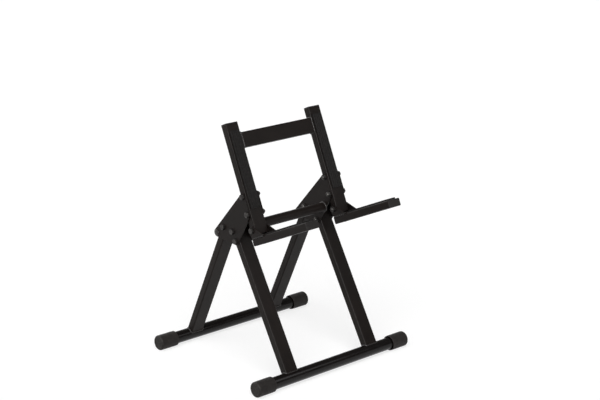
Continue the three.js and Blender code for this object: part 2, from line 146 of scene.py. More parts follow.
pivot = Vector((0, PIVOT_SETBACK, PIVOT_HEIGHT))
post_bolts = [POST_BOLT_HEIGHT, POST_BOLT_HEIGHT + POST_BOLT_PITCH]
leg_bolt_top = front_top - PLUG_DEPTH - PLUG_BOLT_GAP - BOLT_DIAMETER / 2
leg_bolts = [leg_bolt_top, leg_bolt_top - LEG_BOLT_PITCH]
hub_bolts = [seat_frame @ Vector((0, -TUBE_DEPTH / 2, up)) for up in post_bolts]
hub_bolts += [front_leg_frame @ Vector((0, 0, up)) for up in leg_bolts]
stop_pin = rear_leg_frame @ Vector((0, (TUBE_DEPTH + PIN_DIAMETER) / 2 + FIT, rear_reach - PIN_DROP))
hinge_height = TUBE_DEPTH / 2 + 2 * (FIT + PAD_THICKNESS) + FOLD_GAP
hinge = seat_frame @ Vector((0, -TUBE_DEPTH / 2, hinge_height))
cross_tube = (hub_bolts[0] + hub_bolts[3]) / 2
for label, place in (("pivot", pivot), ("hinge", hinge), ("cross tube", cross_tube)):
    print(label, [round(c, 1) for c in place])

# %% [markdown]
# ## From a bmesh to a finished piece
# Each shape is modelled near the origin, where its numbers are simple, and moved to its place in
# its mesh. The two sides are mirror images, so a piece is modelled once for the right side and
# turned over for the left. Mirroring turns a shape inside out, so the normals are worked out
# again. Smooth shading with sharp edges, and normals weighted by face area, keep the flat
# faces of the tubes flat right up to their rounded corners.

# %% Pieces
SMOOTH_ANGLE, SHARP_TURN = radians(32), radians(60)
PIECES = {}
MIRROR = {"left": Matrix.Scale(-1, 4, (1, 0, 0)), "right": Matrix.Identity(4)}


def mesh_of(bm, name):
    """Object in the scene that holds a bmesh, which is used up."""
    mesh = bpy.data.meshes.new(name)
    bm.to_mesh(mesh)
    bm.free()
    return placed(name, mesh)


def joined(bm, other):
    """Adds another bmesh, which is used up, to a bmesh."""
    mesh = bpy.data.meshes.new("other")
    other.to_mesh(mesh)
    other.free()
    bm.from_mesh(mesh)
    bpy.data.meshes.remove(mesh)
    return bm


def piece(bm, name, body, slot, at=Matrix()):
    """Moves a shape to its place and makes it stand for its node in the frame."""
    bmesh.ops.transform(bm, matrix=STAND @ at, verts=bm.verts)
    bmesh.ops.recalc_face_normals(bm, faces=bm.faces)
    made = mesh_of(bm, "fine_" + name)
    made.data.shade_smooth()
    made.data.set_sharp_from_angle(angle=SMOOTH_ANGLE)
    weighted = made.modifiers.new("weighted normals", "WEIGHTED_NORMAL")
    weighted.keep_sharp = True
    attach(made, body)
    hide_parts(name)
    PIECES[made.name] = slot
    return made


def pair(bm, name, body, slot, at=Matrix()):
    """The same piece on the right and, mirrored, on the left. {} in a name is the side."""
    for side, mirror in MIRROR.items():
        there = mirror @ Matrix.Translation((SIDE_X, 0, 0)) @ at
        piece(bm.copy(), name.format(side), body.format(side), slot, there)
    bm.free()


# %% [markdown]
# ## Foot bars and caps
# A foot bar is a length of round tube, and a cap is moulded rubber with a domed rim, a shallow
# ring in its end and a wide mouth that stands clear of the bar. Both are solids of revolution,
# so an outline is drawn as an edge loop, its corners are rounded with a vertex bevel, and it is
# spun round the X axis. A lathe shape made like this has even faces all the way round.

# %% Turned shapes
ROUND_STEPS, ROUNDING_STEPS, ROUND_TUBE_BREAK = 96, 5, 0.3
MERGE = 0.001  # points closer than this are one


def turned(corners, steps=ROUND_STEPS):
    """Spins an outline of (x, radius, rounding) corners round the X axis."""
    bm = bmesh.new()
    points = [bm.verts.new((x, 0, radius)) for x, radius, _ in corners]
    for here, there in zip(points, points[1:] + points[:1]):
        if here.co.z or there.co.z:  # no edge lies on the axis itself
            bm.edges.new((here, there))
    for point, (_, _, rounding) in zip(points, corners):
        if rounding:
            bmesh.ops.bevel(bm, geom=[point], offset=rounding, offset_type="OFFSET",
                            segments=ROUNDING_STEPS, profile=0.5, affect="VERTICES", material=-1)
    bmesh.ops.spin(bm, geom=bm.verts[:] + bm.edges[:], cent=(0, 0, 0), axis=(1, 0, 0),
                   angle=2 * pi, steps=steps, use_merge=True)
    bmesh.ops.remove_doubles(bm, verts=bm.verts, dist=MERGE)
    return bm


def round_tube(diameter, wall, length):
    """Round tube along X, centred, with its cut ends just broken."""
    end, outer, inner = length / 2, diameter / 2, diameter / 2 - wall
    return turned([(-end, inner, 0), (-end, outer, ROUND_TUBE_BREAK),
                   (end, outer, ROUND_TUBE_BREAK), (end, inner, 0)])


# %% Foot bars
FOOT_BARS = (("front", "root", front_leg_frame), ("rear", "rear_frame", rear_leg_frame))
for place, body, at in FOOT_BARS:
    bar = round_tube(BAR_DIAMETER, BAR_WALL, BAR_LENGTH)
    made = piece(bar, f"{place}_foot_bar", body, "foot_bar_gloss", at)
    print(made.name, len(made.data.polygons), "faces")

# %% Rubber caps
CAP_RING_RADIUS, CAP_RING_DEPTH, RING_SLOPE = 12.6, 0.6, 0.6
GATE_RADIUS, GATE_DEPTH, GATE_SLOPE = 2.4, 0.5, 0.5  # mark where the rubber flowed into the mould
CAP_TAPER = 0.3  # off the radius, at the open end
bore, mouth = BAR_DIAMETER / 2 + FIT, CAP_MOUTH_DIAMETER / 2
cap_rim = CAP_DIAMETER / 2
bar_end = BAR_LENGTH / 2 + FIT
outer_end = bar_end + CAP_END_WALL
open_end = outer_end - CAP_LENGTH
ring_face = outer_end - CAP_RING_DEPTH
gate_face = ring_face - GATE_DEPTH
mouth_end = open_end + CAP_MOUTH_DEPTH
cap_outline = [
    (bar_end, 0, 0), (bar_end, bore, 0.5),
    (mouth_end, bore, 0), (mouth_end, mouth, 0.6),
    (open_end, mouth, 0.3), (open_end, cap_rim - CAP_TAPER, 1.1),
    (mouth_end, cap_rim, 0), (outer_end, cap_rim, CAP_RIM),
    (outer_end, CAP_RING_RADIUS + RING_SLOPE, 0.3), (ring_face, CAP_RING_RADIUS, 0.2),
    (ring_face, GATE_RADIUS + GATE_SLOPE, 0.2), (gate_face, GATE_RADIUS, 0.1), (gate_face, 0, 0),
]
for place, body, at in FOOT_BARS:
    for side, mirror in MIRROR.items():
        piece(turned(cap_outline), f"{place}_foot_cap_{side}", body, "cap_rubber", at @ mirror)
print("caps", CAP_LENGTH, "mm long, mouth", round(mouth - bore, 1), "mm clear of the bar")

# %% [markdown]
# ## Rectangular tube
# Legs, posts, arms and crossbar are cut from one kind of tube. Its section is one flat face with
# rounded corners, inset by the wall and opened, and then extruded. The long edges of the short
# sides are divided first, so that an end can follow the curve that it is cut to. Holes are cut
# with a Boolean modifier, because an exact round hole in a flat face has no simpler operator.

# %% Tube and holes
CORNER_STEPS, SIDE_CUTS, HOLE_STEPS = 6, 9, 40
END_BREAK = 0.35


def flat(width, depth):
    """Rectangle round the origin, as one face."""
    bm = bmesh.new()
    bmesh.ops.create_grid(bm, x_segments=1, y_segments=1, size=0.5)
    bmesh.ops.scale(bm, vec=(width, depth, 1), verts=bm.verts)
    return bm


def section():
    """Outline of the rectangular tube, as one face."""
    bm = flat(TUBE_WIDTH, TUBE_DEPTH)
    bmesh.ops.bevel(bm, geom=bm.verts[:], offset=TUBE_CORNER, offset_type="OFFSET",
                    segments=CORNER_STEPS, profile=0.5, affect="VERTICES", material=-1)
    return bm


def extruded(bm, faces, offset):
    """Pulls faces by an offset, closes the sides behind them and gives the moved faces."""
    rims = list({edge for face in faces for edge in face.edges})
    grown = bmesh.ops.extrude_face_region(bm, geom=faces + rims)["geom"]
    bmesh.ops.translate(bm, vec=offset,
                        verts=[part for part in grown if isinstance(part, bmesh.types.BMVert)])
    return [part for part in grown if isinstance(part, bmesh.types.BMFace)]


def break_edges(bm, size, clamp=False):
    """Small bevel on every edge where the surface turns sharply."""
    bmesh.ops.recalc_face_normals(bm, faces=bm.faces)
    sharp = [edge for edge in bm.edges if abs(edge.calc_face_angle(0)) > SHARP_TURN]
    bmesh.ops.bevel(bm, geom=sharp, offset=size, offset_type="OFFSET", segments=2, profile=0.5,
                    affect="EDGES", clamp_overlap=clamp, material=-1)


def tube(length, foot=None):
    """Rectangular tube up from z = 0. foot(y) gives the height that its lower end is cut to."""
    bm = section()
    wall = bmesh.ops.inset_region(bm, faces=bm.faces[:], thickness=TUBE_WALL, depth=0,
                                  use_even_offset=True, use_boundary=True)["faces"]
    bmesh.ops.delete(bm, geom=[face for face in bm.faces if face not in wall], context="FACES")
    long_edges = [edge for edge in bm.edges
                  if abs(edge.verts[0].co.y - edge.verts[1].co.y) > TUBE_DEPTH / 2]
    bmesh.ops.subdivide_edges(bm, edges=long_edges, cuts=SIDE_CUTS, use_grid_fill=True)
    low = bm.verts[:]
    extruded(bm, bm.faces[:], (0, 0, length))
    if foot:
        for corner in low:
            corner.co.z = foot(corner.co.y)
    break_edges(bm, END_BREAK, clamp=True)
    return bm


def drilled(bm, diameter, places):
    """Cuts round holes along X through a shape, at (y, z) places."""
    cutter = bmesh.new()
    radius = diameter / 2 + FIT
    for y, z in places:
        at = Matrix.Translation((0, y, z)) @ SIDEWAYS
        bmesh.ops.create_cone(cutter, cap_ends=True, segments=HOLE_STEPS, radius1=radius,
                              radius2=radius, depth=4 * TUBE_WIDTH, matrix=at)
    block, bit = mesh_of(bm, "block"), mesh_of(cutter, "bit")
    cut = block.modifiers.new("cut", "BOOLEAN")
    cut.object, cut.operation, cut.solver = bit, "DIFFERENCE", "EXACT"
    bpy.context.view_layer.update()
    result = bmesh.new()
    result.from_object(block, bpy.context.evaluated_depsgraph_get())
    for spent in (block, bit):
        bpy.data.objects.remove(spent)
    return result


# %% [markdown]
# ## Legs
# Each leg starts on its bar's axis and is fish-mouthed: its end is cut to the curve of the round
# bar that it is welded to. The rear leg is bored for its nylon bush, the front leg for two bolts.

# %% Front and rear legs
SADDLE_GAP = 0.1


def over_bar(y):
    """Height of the bar's surface under a leg."""
    return sqrt((BAR_DIAMETER / 2 + SADDLE_GAP) ** 2 - y ** 2)


front_leg = drilled(tube(front_top, over_bar), BOLT_DIAMETER, [(0, up) for up in leg_bolts])
pair(front_leg, "front_leg_{}", "root", "powder_coat", front_leg_frame)
rear_leg = drilled(tube(rear_top, over_bar), BUSH_DIAMETER, [(0, rear_reach)])
pair(rear_leg, "rear_leg_{}", "rear_frame", "powder_coat", rear_leg_frame)
print("front leg", round(front_top, 1), "rear leg", round(rear_top, 1))

# %% [markdown]
# ## Posts, arms and crossbar
# The post's lower end is rounded about the hinge, so that the arm can swing past it. The arm is
# a plain length that lies forwards from the post's foot. The crossbar runs between the posts.

# %% Back posts
post_foot = FIT + BRACKET + FIT
swing = hinge_height - post_foot


def past_hinge(y):
    """Lower end of the post: flat behind the hinge and round before it."""
    return hinge_height - (sqrt(swing ** 2 - y ** 2) if y < 0 else swing) - post_foot


post = drilled(tube(POST_TOP - post_foot, past_hinge), BOLT_DIAMETER,
               [(0, up - post_foot) for up in [hinge_height, *post_bolts]])
post_place = seat_frame @ Matrix.Translation((0, -TUBE_DEPTH / 2, 0))
pair(post, "back_post_{}", "root", "powder_coat", post_place @ Matrix.Translation((0, 0, post_foot)))

# %% Seat arms
# In the arm's own frame z runs forwards along the arm, and its top face looks along y.
arm_place = seat_frame @ Matrix.Translation((0, 0, -TUBE_DEPTH / 2)) @ Matrix.Rotation(pi / 2, 4, "X")
pair(tube(ARM_LENGTH), "seat_arm_{}", "seat_arm_{}", "powder_coat", arm_place)

# %% Upper crossbar and lower cross tube
crossbar_length = SIDE_SPACING - TUBE_WIDTH - 2 * FIT
crossbar_place = post_place @ Matrix.Translation((0, 0, POST_TOP - CROSSBAR_DROP))
across = SIDEWAYS @ Matrix.Translation((0, 0, -crossbar_length / 2))
piece(tube(crossbar_length), "upper_crossbar", "root", "powder_coat", crossbar_place @ across)
cross_length = SIDE_SPACING - 2 * (PLATE_OUTER + FIT)
piece(round_tube(CROSS_TUBE_DIAMETER, CROSS_TUBE_WALL, cross_length), "lower_cross_tube", "root",
      "powder_coat", Matrix.Translation(cross_tube))
print("between the sides", crossbar_length, "and", cross_length)

# %% [markdown]
# ## Plugs
# Each open tube end takes a moulded plug: a head with softened edges outside, and a hollow
# spigot that grips the bore. The head is extruded from the tube's outline and bevelled; the
# spigot grows from its underside by inset and extrude.

# %% Plugs
BEVEL_STEPS = 4


def plug():
    """Plug for a tube end at z = 0, with its head above."""
    bm = section()
    bmesh.ops.translate(bm, vec=(0, 0, FIT), verts=bm.verts)
    top = extruded(bm, bm.faces[:], (0, 0, PLUG_HEAD))[0]
    bmesh.ops.bevel(bm, geom=top.edges[:], offset=PLUG_BEVEL, offset_type="OFFSET",
                    segments=BEVEL_STEPS, profile=0.5, affect="EDGES", material=-1)
    foot = [face for face in bm.faces if face.calc_center_median().z < FIT + MERGE]
    for inset, depth in ((TUBE_WALL + FIT, -PLUG_DEPTH - FIT), (PLUG_WALL, PLUG_DEPTH)):
        bmesh.ops.inset_region(bm, faces=foot, thickness=inset, depth=0,
                               use_even_offset=True, use_boundary=True)
        foot = extruded(bm, foot, (0, 0, depth))
    return bm


for name, body, at in (
    ("front_leg_plug_{}", "root", front_leg_frame @ Matrix.Translation((0, 0, front_top))),
    ("rear_leg_plug_{}", "rear_frame", rear_leg_frame @ Matrix.Translation((0, 0, rear_top))),
    ("back_post_plug_{}", "root", post_place @ Matrix.Translation((0, 0, POST_TOP))),
    ("seat_arm_front_plug_{}", "seat_arm_{}", arm_place @ Matrix.Translation((0, 0, ARM_LENGTH))),
    ("seat_arm_rear_plug_{}", "seat_arm_{}", arm_place @ Matrix.Rotation(pi, 4, "X")),
):
    pair(plug(), name, body, "plug_plastic", at)
    print("plugs", name.format("left"), "and", name.format("right"))

# %% [markdown]
# ## Hub plates
# A hub plate is a flat steel plate, shaped like a belt stretched round its bolts, the pivot and
# the stop pin. A convex hull of two rows of circles gives just that belt, and a small bevel
# breaks the edges that a press leaves.

# %% Belt-shaped plates
PLATE_BREAK, BELT_STEPS, STRAIGHT = 0.5, 72, radians(1)
SHARP_CORNER = 0.001  # radius of a disc that stands for a plain corner
BELT_MERGE = 0.01  # joins the points of such a disc into one


def belt(discs, near, far):
    """Plate from x = near to x = far round (place, radius) discs in the side view."""
    bm = bmesh.new()
    for place, radius in discs:
        for x in (near, far):
            at = Matrix.Translation((x, place.y, place.z)) @ SIDEWAYS
            bmesh.ops.create_circle(bm, cap_ends=False, segments=BELT_STEPS, radius=radius, matrix=at)
    bmesh.ops.delete(bm, geom=bm.edges[:], context="EDGES_FACES")
    bmesh.ops.remove_doubles(bm, verts=bm.verts, dist=BELT_MERGE)
    inside = bmesh.ops.convex_hull(bm, input=bm.verts[:])["geom_interior"]
    bmesh.ops.delete(bm, geom=[part for part in inside if isinstance(part, bmesh.types.BMVert)],
                     context="VERTS")
    bmesh.ops.dissolve_limit(bm, angle_limit=STRAIGHT, verts=bm.verts[:], edges=bm.edges[:])
    return bm


hub_discs = [(place, POST_LOBE) for place in hub_bolts[:2]]
hub_discs += [(place, LEG_LOBE) for place in [*hub_bolts[2:], stop_pin]] + [(pivot, PIVOT_LOBE)]
for layer, near in (("outer", PLATE_INNER), ("inner", -PLATE_OUTER)):
    hub_plate = belt(hub_discs, near, near + PLATE)
    break_edges(hub_plate, PLATE_BREAK)
    hub_plate = drilled(hub_plate, BOLT_DIAMETER, [(p.y, p.z) for p in [*hub_bolts, pivot]])
    hub_plate = drilled(hub_plate, PIN_DIAMETER, [(stop_pin.y, stop_pin.z)])
    pair(hub_plate, "hub_plate_{}_" + layer, "root", "powder_coat")
print("hub plates round", len(hub_discs), "discs")

# %% [markdown]
# ## Hinge brackets
# The bracket that carries the arm is one piece of sheet steel bent to a U. So it is modelled as
# a sheet: a belt-shaped block keeps only its two sides and its floor, the bends are rounded, and
# the sheet then gets its thickness.

# %% Hinge brackets
BEND_RADIUS, BEND_STEPS = 3.5, 8
bracket_outer = PLATE_INNER + BRACKET
bracket_discs = [
    (Vector((0, -TUBE_DEPTH / 2, hinge_height)), BRACKET_LOBE),
    (Vector((0, -BRACKET_LENGTH, FIT)), SHARP_CORNER),
    (Vector((0, 0, FIT)), SHARP_CORNER),
]
bracket = belt(bracket_discs, -bracket_outer, bracket_outer)
bmesh.ops.recalc_face_normals(bracket, faces=bracket.faces)
# The lid is every face that looks neither sideways nor straight down.
lid = [face for face in bracket.faces if abs(face.normal.x) < 0.9 and face.normal.z > -0.999]
bmesh.ops.delete(bracket, geom=lid, context="FACES")
bends = [edge for edge in bracket.edges if edge.calc_face_angle(0) > SHARP_TURN]
bmesh.ops.bevel(bracket, geom=bends, offset=BEND_RADIUS, offset_type="OFFSET", segments=BEND_STEPS,
                profile=0.5, affect="EDGES", material=-1)
bmesh.ops.solidify(bracket, geom=bracket.faces[:], thickness=BRACKET)
print("bracket bends", len(bends), "faces", len(bracket.faces))
bracket = drilled(bracket, BOLT_DIAMETER, [(-TUBE_DEPTH / 2, hinge_height)])
pair(bracket, "arm_bracket_{}", "seat_arm_{}", "powder_coat", seat_frame)

# %% [markdown]
# ## Rubber strips
# The strips on the arms and posts are extruded rubber with five ribs. The section starts as a
# thin base, cut where ribs and grooves meet; the ribs are drawn up from it, joined to one face,
# softened at their corners and pulled out to the strip's length.

# %% Ribbed strips
RIB_SOFTENING, SOFTENING_STEPS = 0.45, 3


def strip(length):
    """Ribbed strip up from z = 0, its back at y = 0 and its ribs towards -y."""
    base = PAD_THICKNESS - GROOVE_DEPTH
    pitch = (PAD_WIDTH + GROOVE_WIDTH) / PAD_RIBS
    bm = flat(PAD_WIDTH, base)
    bmesh.ops.translate(bm, vec=(0, -base / 2, 0), verts=bm.verts)
    for rib in range(1, PAD_RIBS):
        for x in (rib * pitch - GROOVE_WIDTH, rib * pitch):
            bmesh.ops.bisect_plane(bm, geom=bm.verts[:] + bm.edges[:] + bm.faces[:], dist=MERGE,
                                   plane_co=(x - PAD_WIDTH / 2, 0, 0), plane_no=(1, 0, 0))
    # On the front edge, ribs are wider than half the pitch and grooves narrower.
    crests = [edge for edge in bm.edges if edge.calc_length() > pitch / 2
              and max(end.co.y for end in edge.verts) < -base + MERGE]
    drawn = bmesh.ops.extrude_edge_only(bm, edges=crests)["geom"]
    tops = [part for part in drawn if isinstance(part, bmesh.types.BMVert)]
    bmesh.ops.translate(bm, vec=(0, -GROOVE_DEPTH, 0), verts=tops)
    bmesh.ops.dissolve_faces(bm, faces=bm.faces[:])
    bmesh.ops.bevel(bm, geom=tops, offset=RIB_SOFTENING, offset_type="OFFSET",
                    segments=SOFTENING_STEPS, profile=0.5, affect="VERTICES", material=-1)
    extruded(bm, bm.faces[:], (0, 0, length))
    return bm


back_pad_place = seat_frame @ Matrix.Translation((0, -TUBE_DEPTH - FIT, BACK_PAD_START))
pair(strip(BACK_PAD_LENGTH), "back_pad_{}", "root", "pad_rubber", back_pad_place)
seat_pad_start = BRACKET_LENGTH + GROOVE_WIDTH
seat_pad_length = ARM_LENGTH - PAD_MARGIN - seat_pad_start
seat_pad_place = arm_place @ Matrix.Translation((0, TUBE_DEPTH / 2 + FIT, seat_pad_start))
pair(strip(seat_pad_length), "seat_pad_{}", "seat_arm_{}", "pad_rubber",
     seat_pad_place @ Matrix.Rotation(pi, 4, "Z"))
print("strips", BACK_PAD_LENGTH, "and", round(seat_pad_length, 1))

# %% [markdown]
# ## Bolts, nuts and pins
# A bolt head is a hexagon whose corners are taken off by a cone, so its top is a circle and each
# flat ends in a curve. A ring of points that follows the hexagon, lifted by the cone's slope,
# gives that curve directly. The thread shows only beyond the nut, where a few ridges on
# the turned shank stand for it.

# %% Hexagons
HEX_STEPS = 72
HEX_ROUND = 0.96  # the cone's circle on the face, as a share of the width across flats
CONE_SLOPE = tan(radians(30))


def hexagon(bm, plain_end, round_end):
    """Hexagonal prism along X, from a plain end to one that a cone rounds off."""
    circle = HEX_ROUND * HEAD_ACROSS / 2
    inward = CONE_SLOPE if plain_end > round_end else -CONE_SLOPE
    disc = bmesh.ops.create_circle(bm, cap_ends=True, segments=HEX_STEPS, radius=1, matrix=SIDEWAYS)
    face = disc["verts"][0].link_faces[0]
    for level in ("plain end", "cone", "circle"):
        if level != "plain end":
            face = extruded(bm, [face], (0, 0, 0))[0]
        for point in face.verts:
            turn = atan2(point.co.z, point.co.y)
            from_flat = turn % (pi / 3) - pi / 6
            radius = circle if level == "circle" else HEAD_ACROSS / 2 / cos(from_flat)
            lift = inward * (radius - circle) if level == "cone" else 0
            x = plain_end if level == "plain end" else round_end
            point.co = (x + lift, radius * cos(turn), radius * sin(turn))


# %% Fasteners
THREAD_PITCH, THREAD_DEPTH = 1.25, 0.55
FASTENER_STEPS = 48
SUNK = 0.5  # of a turned part in the hexagon that it grows from
COLLAR_RADIUS, COLLAR_HOLE = 0.44 * HEAD_ACROSS, 0.37 * HEAD_ACROSS
COLLAR_ROUND, RING_BELOW = 0.8, 0.5


def bolt(grip):
    """Bolt whose head lies outside x = grip / 2, pointing along -x."""
    bm = bmesh.new()
    hexagon(bm, grip / 2, grip / 2 + HEAD_HEIGHT)
    tip = grip / 2 + NUT_HEIGHT + BOLT_TAIL
    radius = BOLT_DIAMETER / 2
    outline = [(grip / 2 + SUNK, 0, 0), (grip / 2 + SUNK, radius, 0)]
    ridges = int((NUT_HEIGHT + BOLT_TAIL) / THREAD_PITCH)
    for ridge in range(ridges, 0, -1):
        x = ridge * THREAD_PITCH - tip
        outline += [(x, radius, 0), (x - THREAD_PITCH / 2, radius - THREAD_DEPTH, 0)]
    outline += [(-tip, radius - THREAD_DEPTH, 0), (-tip, 0, 0)]
    return joined(bm, turned(outline, FASTENER_STEPS))


def lock_nut(grip):
    """Nut outside x = -grip / 2, with the turned collar that holds its nylon ring."""
    bm = bmesh.new()
    shoulder = -grip / 2 - NUT_HEIGHT + NUT_COLLAR
    hexagon(bm, -grip / 2, shoulder)
    top = shoulder - NUT_COLLAR
    ring = top + RING_BELOW
    collar = turned([(shoulder + SUNK, 0, 0), (shoulder + SUNK, COLLAR_RADIUS, 0),
                     (top, COLLAR_RADIUS, COLLAR_ROUND), (top, COLLAR_HOLE, 0.1),
                     (ring, COLLAR_HOLE, 0), (ring, 0, 0)], FASTENER_STEPS)
    for face in collar.faces:
        if abs(face.calc_center_median().x - ring) < MERGE:
            face.material_index = 1  # nylon
    return joined(bm, collar)


hub_grip = 2 * (PLATE_OUTER + FIT)
hinge_grip = 2 * (bracket_outer + FIT)
for number, place in enumerate(hub_bolts, 1):
    fastener = joined(bolt(hub_grip), lock_nut(hub_grip))
    pair(fastener, "frame_bolt_{}_" + str(number), "root", "black_steel", Matrix.Translation(place))
for use, place, grip in (("pivot", pivot, hub_grip), ("arm_hinge", hinge, hinge_grip)):
    pair(bolt(grip), use + "_bolt_{}", "root", "black_steel", Matrix.Translation(place))
    pair(lock_nut(grip), use + "_nut_{}", "root", "black_steel", Matrix.Translation(place))
print("grip of hub bolts", hub_grip, "and of hinge bolts", hinge_grip)

# %% Stop pins
PIN_RIM, PIN_CROWN, PIN_STEPS = 0.9, 0.28 * PIN_HEAD, 64
pin_face = PLATE_OUTER + FIT
pin_end = pin_face + PIN_HEAD_HEIGHT
half_pin = [(pin_face, PIN_DIAMETER / 2, 0), (pin_face, PIN_HEAD / 2, 0.4),
            (pin_face + PIN_RIM, PIN_HEAD / 2, 0.5), (pin_end, PIN_CROWN, 1.6), (pin_end, 0, 0)]
pin_outline = [(-x, radius, rounding) for x, radius, rounding in reversed(half_pin)] + half_pin
pin = turned(pin_outline, PIN_STEPS)
pair(pin, "stop_pin_{}", "root", "black_steel", Matrix.Translation(stop_pin))
print("stop pin", round(2 * pin_end, 1), "mm long")

# %% [markdown]
# ## Weld beads
# Legs, bars, cross members and brackets are joined by welds, which show as small rippled beads
# in the corners. A bead is a curve with a round bevel, whose radius rises and falls with
# each ripple, so one helper turns any path along a joint into a bead.

# %% Beads
BEAD_RADIUS, BEAD_RESOLUTION, BEAD_STEP = 2.3, 2, 0.6
RIPPLE, RIPPLE_DEPTH = 2.8, 0.2
SEAM_INSET, SEAM_BACK, SEAM_UP = 4, 0.7, 0.4  # of a bracket's seams from its edges


def along(corners, closed):
    """Points at even steps along a path of corners."""
    ends = corners + corners[:1] if closed else corners
    points = []
    for here, there in zip(ends, ends[1:]):
        steps = max(1, ceil((there - here).length / BEAD_STEP))
        points += [here.lerp(there, step / steps) for step in range(steps)]
    return points if closed else points + [ends[-1]]


def tube_outline(width, depth, corner):
    """Corners of a rounded rectangle in the XY plane."""
    points = []
    for quarter, (x, y) in enumerate(((1, 1), (-1, 1), (-1, -1), (1, -1))):
        middle = Vector((x * (width / 2 - corner), y * (depth / 2 - corner), 0))
        for step in range(CORNER_STEPS + 1):
            turn = (quarter + step / CORNER_STEPS) * pi / 2
            points.append(middle + corner * Vector((cos(turn), sin(turn), 0)))
    return points


def bead(name, body, paths, at):
    """Rippled bead along paths of (points, closed), as a mesh piece."""
    curve = bpy.data.curves.new(name, "CURVE")
    curve.dimensions, curve.use_fill_caps = "3D", True
    curve.bevel_depth, curve.bevel_resolution = BEAD_RADIUS * MM, BEAD_RESOLUTION
    for points, closed in paths:
        spline = curve.splines.new("POLY")
        spline.points.add(len(points) - 1)
        spline.use_cyclic_u = closed
        walked = 0
        for index, point in enumerate(points):
            walked += (point - points[index - 1]).length if index else 0
            spline.points[index].co = (*(STAND @ at @ point), 1)
            wave = abs(sin(pi * walked / RIPPLE))
            spline.points[index].radius = 1 - RIPPLE_DEPTH + RIPPLE_DEPTH * wave
    drawn = placed(name, curve)
    bpy.context.view_layer.update()
    evaluated = drawn.evaluated_get(bpy.context.evaluated_depsgraph_get())
    mesh = bpy.data.meshes.new_from_object(evaluated)
    bpy.data.objects.remove(drawn)
    bpy.data.curves.remove(curve)
    made = placed(name, mesh)
    mesh.shade_smooth()
    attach(made, body)
    PIECES[name] = "powder_coat"


rim = along(tube_outline(TUBE_WIDTH, TUBE_DEPTH, TUBE_CORNER), True)
saddle = [Vector((point.x, point.y, over_bar(point.y))) for point in rim]
circle = tube_outline(CROSS_TUBE_DIAMETER, CROSS_TUBE_DIAMETER, CROSS_TUBE_DIAMETER / 2)
circle = along(circle, True)
crossbar_end = crossbar_place @ Matrix.Translation((crossbar_length / 2, 0, 0)) @ SIDEWAYS
cross_tube_end = Matrix.Translation(cross_tube + Vector((cross_length / 2, 0, 0))) @ SIDEWAYS

# Two seams run along the bracket's sides, and one across its front edge, just over the arm.
half_arm = TUBE_WIDTH / 2
seams = [[Vector((x, -SEAM_INSET, 0)), Vector((x, SEAM_INSET - BRACKET_LENGTH, 0))]
         for x in (-half_arm, half_arm)]
front_edge = Vector((0, SEAM_BACK - BRACKET_LENGTH, SEAM_UP))
flat_half = Vector((half_arm - TUBE_CORNER, 0, 0))
seams.append([front_edge - flat_half, front_edge + flat_half])
seams = [(along(seam, False), False) for seam in seams]

for side, mirror in MIRROR.items():
    there = mirror @ Matrix.Translation((SIDE_X, 0, 0))
    bead(f"weld_front_leg_{side}", "root", [(saddle, True)], there @ front_leg_frame)
    bead(f"weld_rear_leg_{side}", "rear_frame", [(saddle, True)], there @ rear_leg_frame)
    bead(f"weld_crossbar_{side}", "root", [(rim, True)], mirror @ crossbar_end)
    bead(f"weld_cross_tube_{side}", "root", [(circle, True)], mirror @ cross_tube_end)
    bead(f"weld_bracket_{side}", f"seat_arm_{side}", seams, there @ seat_frame)
print("pieces", len(PIECES))

# %% [markdown]
# ## Finishes
# Every finish is a node material on object coordinates, which are metres here, so a noise scale
# of 900 has cells about a millimetre wide. Powder coat has the fine orange peel of melted paint,
# the bars a smoother and glossier enamel, the rubber a moulded grain, and the steel a dark oxide.

# %% Node helpers
# Noise keeps near 0.5, so these parts of its range are spread over the whole result.
COLOR_SPAN, ROUGHNESS_SPAN = (0.35, 0.65), (0.3, 0.7)


def shade(red, green, blue):
    """Colour written as it looks on a screen, from 0 to 255, for a shader."""
    return tuple(((c / 255 + 0.055) / 1.055) ** 2.4 if c > 10 else c / 255 / 12.92
                 for c in (red, green, blue)) + (1,)


def finish(name, color, roughness, metallic=0, specular=0.5):
    """New material with a Principled shader and object coordinates."""
    material = bpy.data.materials.new(name)
    material.use_nodes = True
    nodes = material.node_tree.nodes
    shader = nodes["Principled BSDF"]
    shader.inputs["Base Color"].default_value = shade(*color)
    shader.inputs["Roughness"].default_value = roughness
    shader.inputs["Metallic"].default_value = metallic
    shader.inputs["Specular IOR Level"].default_value = specular
    nodes.new("ShaderNodeTexCoord").name = "place"
    return material


def noise(material, scale, detail=3):
    """Noise on the piece's own metres."""
    nodes, links = material.node_tree.nodes, material.node_tree.links
    texture = nodes.new("ShaderNodeTexNoise")
    links.new(nodes["place"].outputs["Object"], texture.inputs["Vector"])
    texture.inputs["Scale"].default_value = scale
    texture.inputs["Detail"].default_value = detail
    return texture.outputs["Fac"]


def ranged(tree, source, span, result=(0, 1)):
    """Value mapped from one span to another, and held at its ends."""
    spread = tree.nodes.new("ShaderNodeMapRange")
    for name, value in zip(("From Min", "From Max", "To Min", "To Max"), (*span, *result)):
        spread.inputs[name].default_value = value
    tree.links.new(source, spread.inputs["Value"])
    return spread.outputs["Result"]


def vary_color(material, source, dark, light):
    """Base colour that wanders between two tones."""
    nodes, links = material.node_tree.nodes, material.node_tree.links
    mix = nodes.new("ShaderNodeMix")
    mix.data_type = "RGBA"
    mix.inputs["A"].default_value, mix.inputs["B"].default_value = shade(*dark), shade(*light)
    links.new(ranged(material.node_tree, source, COLOR_SPAN), mix.inputs["Factor"])
    links.new(mix.outputs["Result"], nodes["Principled BSDF"].inputs["Base Color"])


